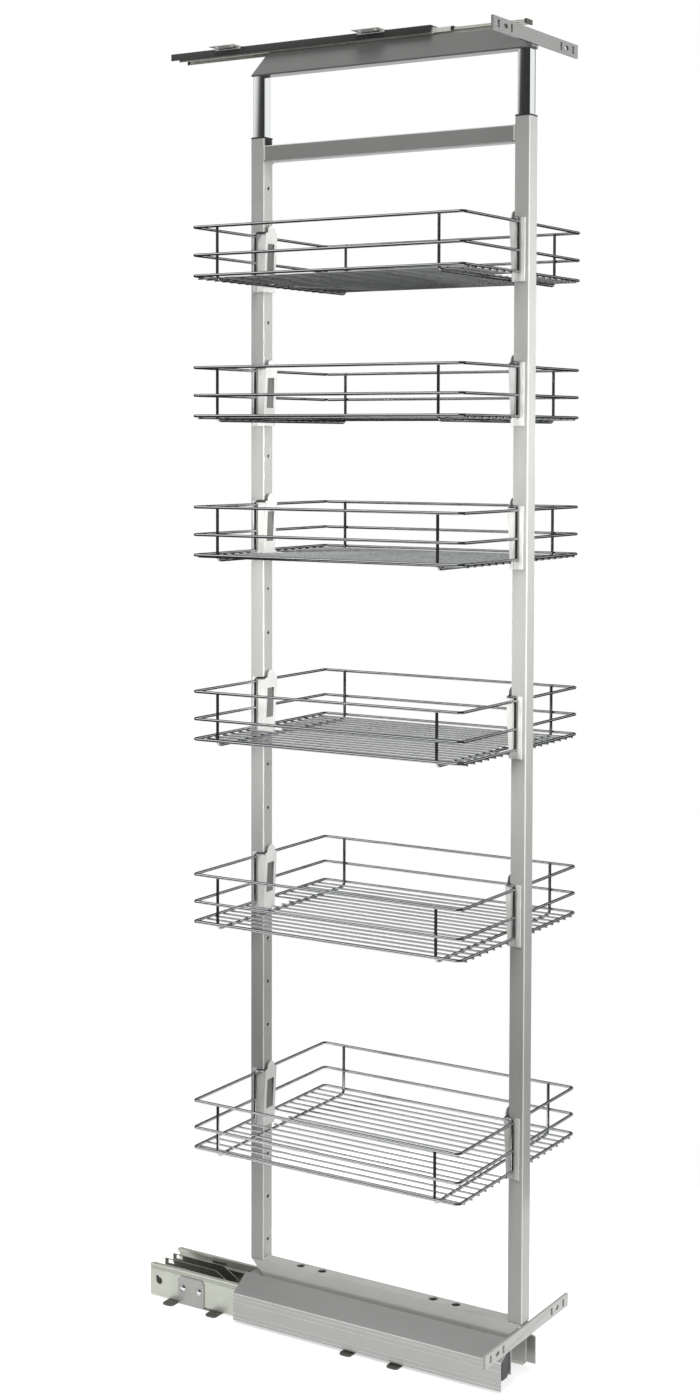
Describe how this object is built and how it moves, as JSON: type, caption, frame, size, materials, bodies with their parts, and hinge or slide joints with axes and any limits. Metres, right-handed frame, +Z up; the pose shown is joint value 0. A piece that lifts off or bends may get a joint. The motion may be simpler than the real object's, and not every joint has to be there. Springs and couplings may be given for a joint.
{
  "type": "pull out larder unit",
  "caption": "tall pull-out larder frame with wire baskets clipped between two square posts, on a floor runner with a telescoping top guide and door brackets",
  "frame": {"origin": "on the cabinet floor, midway between the two posts of the frame, at the rest position in which the unit is partly pulled out", "axes": "+Z up, -Y towards the front of the cabinet, the way the unit pulls out, +X to the right seen from the front"},
  "size_m": [0.3696, 0.6793, 2.0263],
  "materials": {
    "grey_paint": "silver-grey powder coat, fine texture, satin",
    "galvanised": "zinc-plated rolled steel, satin",
    "foot_steel": "zinc-plated pressed steel, dull",
    "anodised_aluminium": "extruded and anodised, fine lines along its length",
    "chrome": "bright chrome plating",
    "grey_plastic": "injection moulded, light grey, satin",
    "black_plastic": "injection moulded, black",
    "black_paint": "black coated steel, satin"
  },
  "bodies": {
    "cabinet_runner": {"base_channel_left": "galvanised", "base_channel_right": "galvanised", "front_foot_plate": "foot_steel", "rear_foot_plate": "foot_steel", "guide_bracket": "foot_steel", "rear_catch_left": "galvanised", "rear_catch_right": "galvanised"},
    "middle_runner": {"middle_rail_left": "galvanised", "middle_rail_right": "galvanised"},
    "frame": {"runner_cover": "anodised_aluminium", "inner_rail_left": "galvanised", "inner_rail_right": "galvanised", "runner_stop": "black_plastic", "bottom_rail": "grey_paint", "rear_post": "grey_paint", "front_post": "grey_paint", "crossbar": "grey_paint", "rear_post_glide": "black_plastic", "front_post_glide": "black_plastic", "height_screw_rear": "galvanised", "height_screw_front": "galvanised", "bottom_door_bracket": "grey_paint", "clip_rear_1": "grey_plastic", "clip_front_1": "grey_plastic", "clip_rear_2": "grey_plastic", "clip_front_2": "grey_plastic", "clip_rear_3": "grey_plastic", "clip_front_3": "grey_plastic", "clip_rear_4": "grey_plastic", "clip_front_4": "grey_plastic", "clip_rear_5": "grey_plastic", "clip_front_5": "grey_plastic", "clip_rear_6": "grey_plastic", "clip_front_6": "grey_plastic"},
    "top_frame": {"inner_post_rear": "chrome", "inner_post_front": "chrome", "top_channel": "grey_paint", "top_door_bracket": "grey_paint", "top_inner_rail": "galvanised"},
    "top_middle_runner": {"top_middle_rail": "galvanised", "top_rail_stop": "black_plastic"},
    "top_cabinet_runner": {"top_fixed_rail": "black_paint", "top_raceway": "galvanised", "top_bracket_rear": "galvanised", "top_bracket_front": "galvanised"},
    "basket_1": {"basket_1": "chrome"},
    "basket_2": {"basket_2": "chrome"},
    "basket_3": {"basket_3": "chrome"},
    "basket_4": {"basket_4": "chrome"},
    "basket_5": {"basket_5": "chrome"},
    "basket_6": {"basket_6": "chrome"}
  },
  "joints": [
    {"name": "pull_out", "type": "slide", "parent": "cabinet_runner", "child": "frame", "axis": [0, -1, 0], "range_m": [-0.16, 0.3]},
    {"name": "middle_slide", "type": "slide", "parent": "cabinet_runner", "child": "middle_runner", "axis": [0, -1, 0], "range_m": [-0.08, 0.15]},
    {"name": "height_adjust", "type": "slide", "parent": "frame", "child": "top_frame", "axis": [0, 0, 1], "range_m": [-0.09, 0.1]},
    {"name": "top_middle_slide", "type": "slide", "parent": "top_frame", "child": "top_middle_runner", "axis": [0, 1, 0], "range_m": [-0.08, 0.15]},
    {"name": "top_runner_slide", "type": "slide", "parent": "top_frame", "child": "top_cabinet_runner", "axis": [0, 1, 0], "range_m": [-0.16, 0.3]},
    {"name": "basket_1_lift", "type": "slide", "parent": "frame", "child": "basket_1", "axis": [0, 0, 1], "range_m": [0, 0.04]},
    {"name": "basket_2_lift", "type": "slide", "parent": "frame", "child": "basket_2", "axis": [0, 0, 1], "range_m": [0, 0.04]},
    {"name": "basket_3_lift", "type": "slide", "parent": "frame", "child": "basket_3", "axis": [0, 0, 1], "range_m": [0, 0.04]},
    {"name": "basket_4_lift", "type": "slide", "parent": "frame", "child": "basket_4", "axis": [0, 0, 1], "range_m": [0, 0.04]},
    {"name": "basket_5_lift", "type": "slide", "parent": "frame", "child": "basket_5", "axis": [0, 0, 1], "range_m": [0, 0.04]},
    {"name": "basket_6_lift", "type": "slide", "parent": "frame", "child": "basket_6", "axis": [0, 0, 1], "range_m": [0, 0.04]}
  ],
  "couplings": [
    {"joint": "middle_slide", "follows": "pull_out", "ratio": 0.5},
    {"joint": "top_middle_slide", "follows": "pull_out", "ratio": 0.5},
    {"joint": "top_runner_slide", "follows": "pull_out", "ratio": 1}
  ]
}
